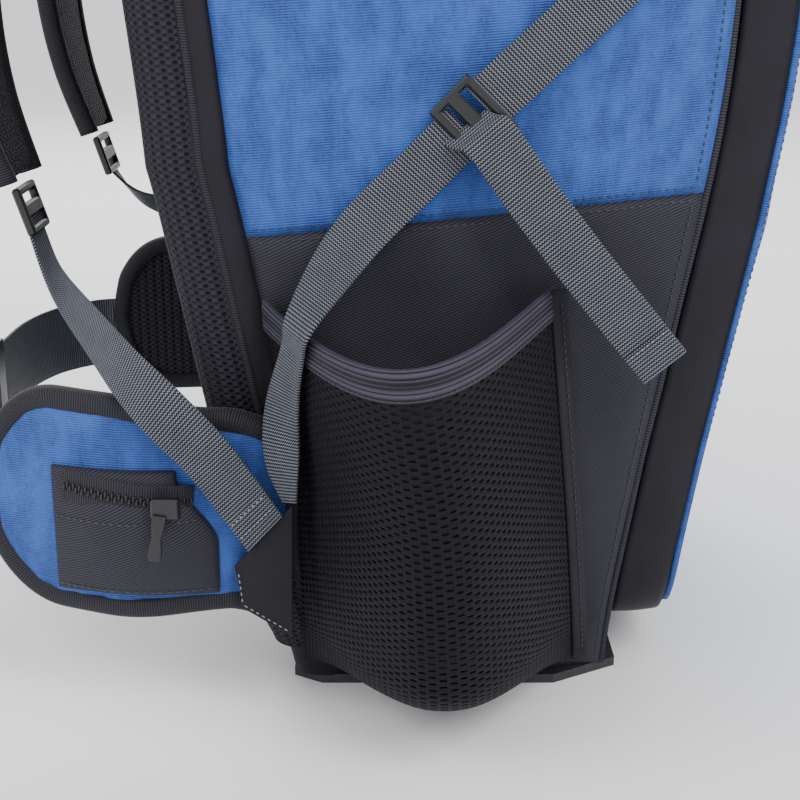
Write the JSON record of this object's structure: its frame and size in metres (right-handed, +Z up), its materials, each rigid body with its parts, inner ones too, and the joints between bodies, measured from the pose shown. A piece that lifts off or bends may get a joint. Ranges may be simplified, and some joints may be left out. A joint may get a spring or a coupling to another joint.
{
  "type": "daypack",
  "caption": "Hiking daypack with padded harness, hip belt, top lid and an elastic-rimmed mesh bottle pocket on each side; blue nylon and dark-grey twill with grey webbing.",
  "frame": {"origin": "centre of the base, on the surface the pack stands on", "axes": "+Z up, +Y towards the wearer's back, -Y the front pocket, -X the wearer's left"},
  "size_m": [0.4568, 0.3868, 0.5052],
  "materials": {
    "blue_nylon": "matte",
    "dark_twill": "matte",
    "dark_lining": "matte",
    "pocket_mesh": "matte",
    "rim_elastic": "matte",
    "webbing": "matte",
    "spacer_mesh": "matte",
    "black_plastic": "satin",
    "coated_base": "matte",
    "frame_board": "satin"
  },
  "bodies": {
    "pack": {"back_pad_left": "spacer_mesh", "back_pad_right": "spacer_mesh", "back_panel": "dark_lining", "base_panel": "coated_base", "compression_lock_left": "black_plastic", "compression_lock_right": "black_plastic", "compression_strap_left": "webbing", "compression_strap_right": "webbing", "compression_tab_left": "webbing", "compression_tab_right": "webbing", "compression_tail_left": "webbing", "compression_tail_right": "webbing", "frame_sheet": "frame_board", "front_face": "blue_nylon", "front_gusset": "dark_lining", "front_wall": "dark_twill", "lid_buckle_female": "black_plastic", "lid_strap_anchor": "webbing", "lumbar_pad": "spacer_mesh", "pocket_mesh_left": "pocket_mesh", "pocket_mesh_right": "pocket_mesh", "pocket_rim_left": "rim_elastic", "pocket_rim_right": "rim_elastic", "shoulder_webbing_left": "webbing", "shoulder_webbing_right": "webbing", "side_lower_left": "dark_twill", "side_lower_right": "dark_twill", "side_upper_left": "blue_nylon", "side_upper_right": "blue_nylon", "strap_patch_left": "dark_lining", "strap_patch_right": "dark_lining", "wing_gusset_left": "blue_nylon", "wing_gusset_right": "blue_nylon"},
    "lid": {"lid_floor": "dark_lining", "lid_shell": "blue_nylon", "lid_strap": "webbing"},
    "lid_zip": {"lid_zip_slider": "black_plastic"},
    "lid_clip": {"lid_buckle_male": "black_plastic"},
    "haul": {"haul_loop": "webbing"},
    "wing_left": {"belt_buckle_female": "black_plastic", "belt_webbing_left": "webbing", "hip_wing_left": "blue_nylon", "wing_pouch_left": "dark_lining"},
    "wing_right": {"belt_webbing_right": "webbing", "hip_wing_right": "blue_nylon", "wing_pouch_right": "dark_lining"},
    "pouch_zip_left": {"wing_zip_slider_left": "black_plastic"},
    "pouch_zip_right": {"wing_zip_slider_right": "black_plastic"},
    "belt_clip": {"belt_buckle_male": "black_plastic"},
    "harness": {"shoulder_lock_left": "black_plastic", "shoulder_lock_right": "black_plastic", "shoulder_strap_left": "dark_lining", "shoulder_strap_right": "dark_lining"},
    "sternum": {"sternum_buckle_female": "black_plastic", "sternum_slider_left": "black_plastic", "sternum_slider_right": "black_plastic", "sternum_webbing_left": "webbing", "sternum_webbing_right": "webbing"},
    "sternum_clip": {"sternum_buckle_male": "black_plastic"}
  },
  "joints": [
    {"name": "lid_hinge", "type": "hinge", "parent": "pack", "child": "lid", "pos_m": [0, 0.1225, 0.437], "axis": [-1, 0, 0], "range_deg": [0, 95]},
    {"name": "lid_zip_slide", "type": "slide", "parent": "lid", "child": "lid_zip", "axis": [1, 0, 0], "range_m": [0, 0.216]},
    {"name": "lid_clip_slide", "type": "slide", "parent": "lid", "child": "lid_clip", "axis": [0, 0, -1], "range_m": [0, 0.02]},
    {"name": "haul_loop_hinge", "type": "hinge", "parent": "pack", "child": "haul", "pos_m": [0, 0.1165, 0.422], "axis": [1, 0, 0], "range_deg": [0, 80]},
    {"name": "harness_hinge", "type": "hinge", "parent": "pack", "child": "harness", "pos_m": [0, 0.1225, 0.392], "axis": [1, 0, 0], "range_deg": [-8, 24]},
    {"name": "sternum_height_slide", "type": "slide", "parent": "harness", "child": "sternum", "axis": [0, 0, 1], "range_m": [-0.02, 0.02]},
    {"name": "sternum_clip_slide", "type": "slide", "parent": "sternum", "child": "sternum_clip", "axis": [-1, 0, 0], "range_m": [0, 0.019]},
    {"name": "wing_left_hinge", "type": "hinge", "parent": "pack", "child": "wing_left", "pos_m": [-0.1575, 0.0805, 0], "axis": [0, 0, 1], "range_deg": [-18, 6]},
    {"name": "wing_right_hinge", "type": "hinge", "parent": "pack", "child": "wing_right", "pos_m": [0.1575, 0.0805, 0], "axis": [0, 0, 1], "range_deg": [-6, 18]},
    {"name": "pouch_zip_left_slide", "type": "slide", "parent": "wing_left", "child": "pouch_zip_left", "axis": [0, 0.9927, 0.1203], "range_m": [0, 0.03]},
    {"name": "pouch_zip_right_slide", "type": "slide", "parent": "wing_right", "child": "pouch_zip_right", "axis": [0, 0.9927, 0.1203], "range_m": [0, 0.03]},
    {"name": "belt_clip_slide", "type": "slide", "parent": "wing_right", "child": "belt_clip", "axis": [-1, 0, 0], "range_m": [0, 0.04]}
  ]
}
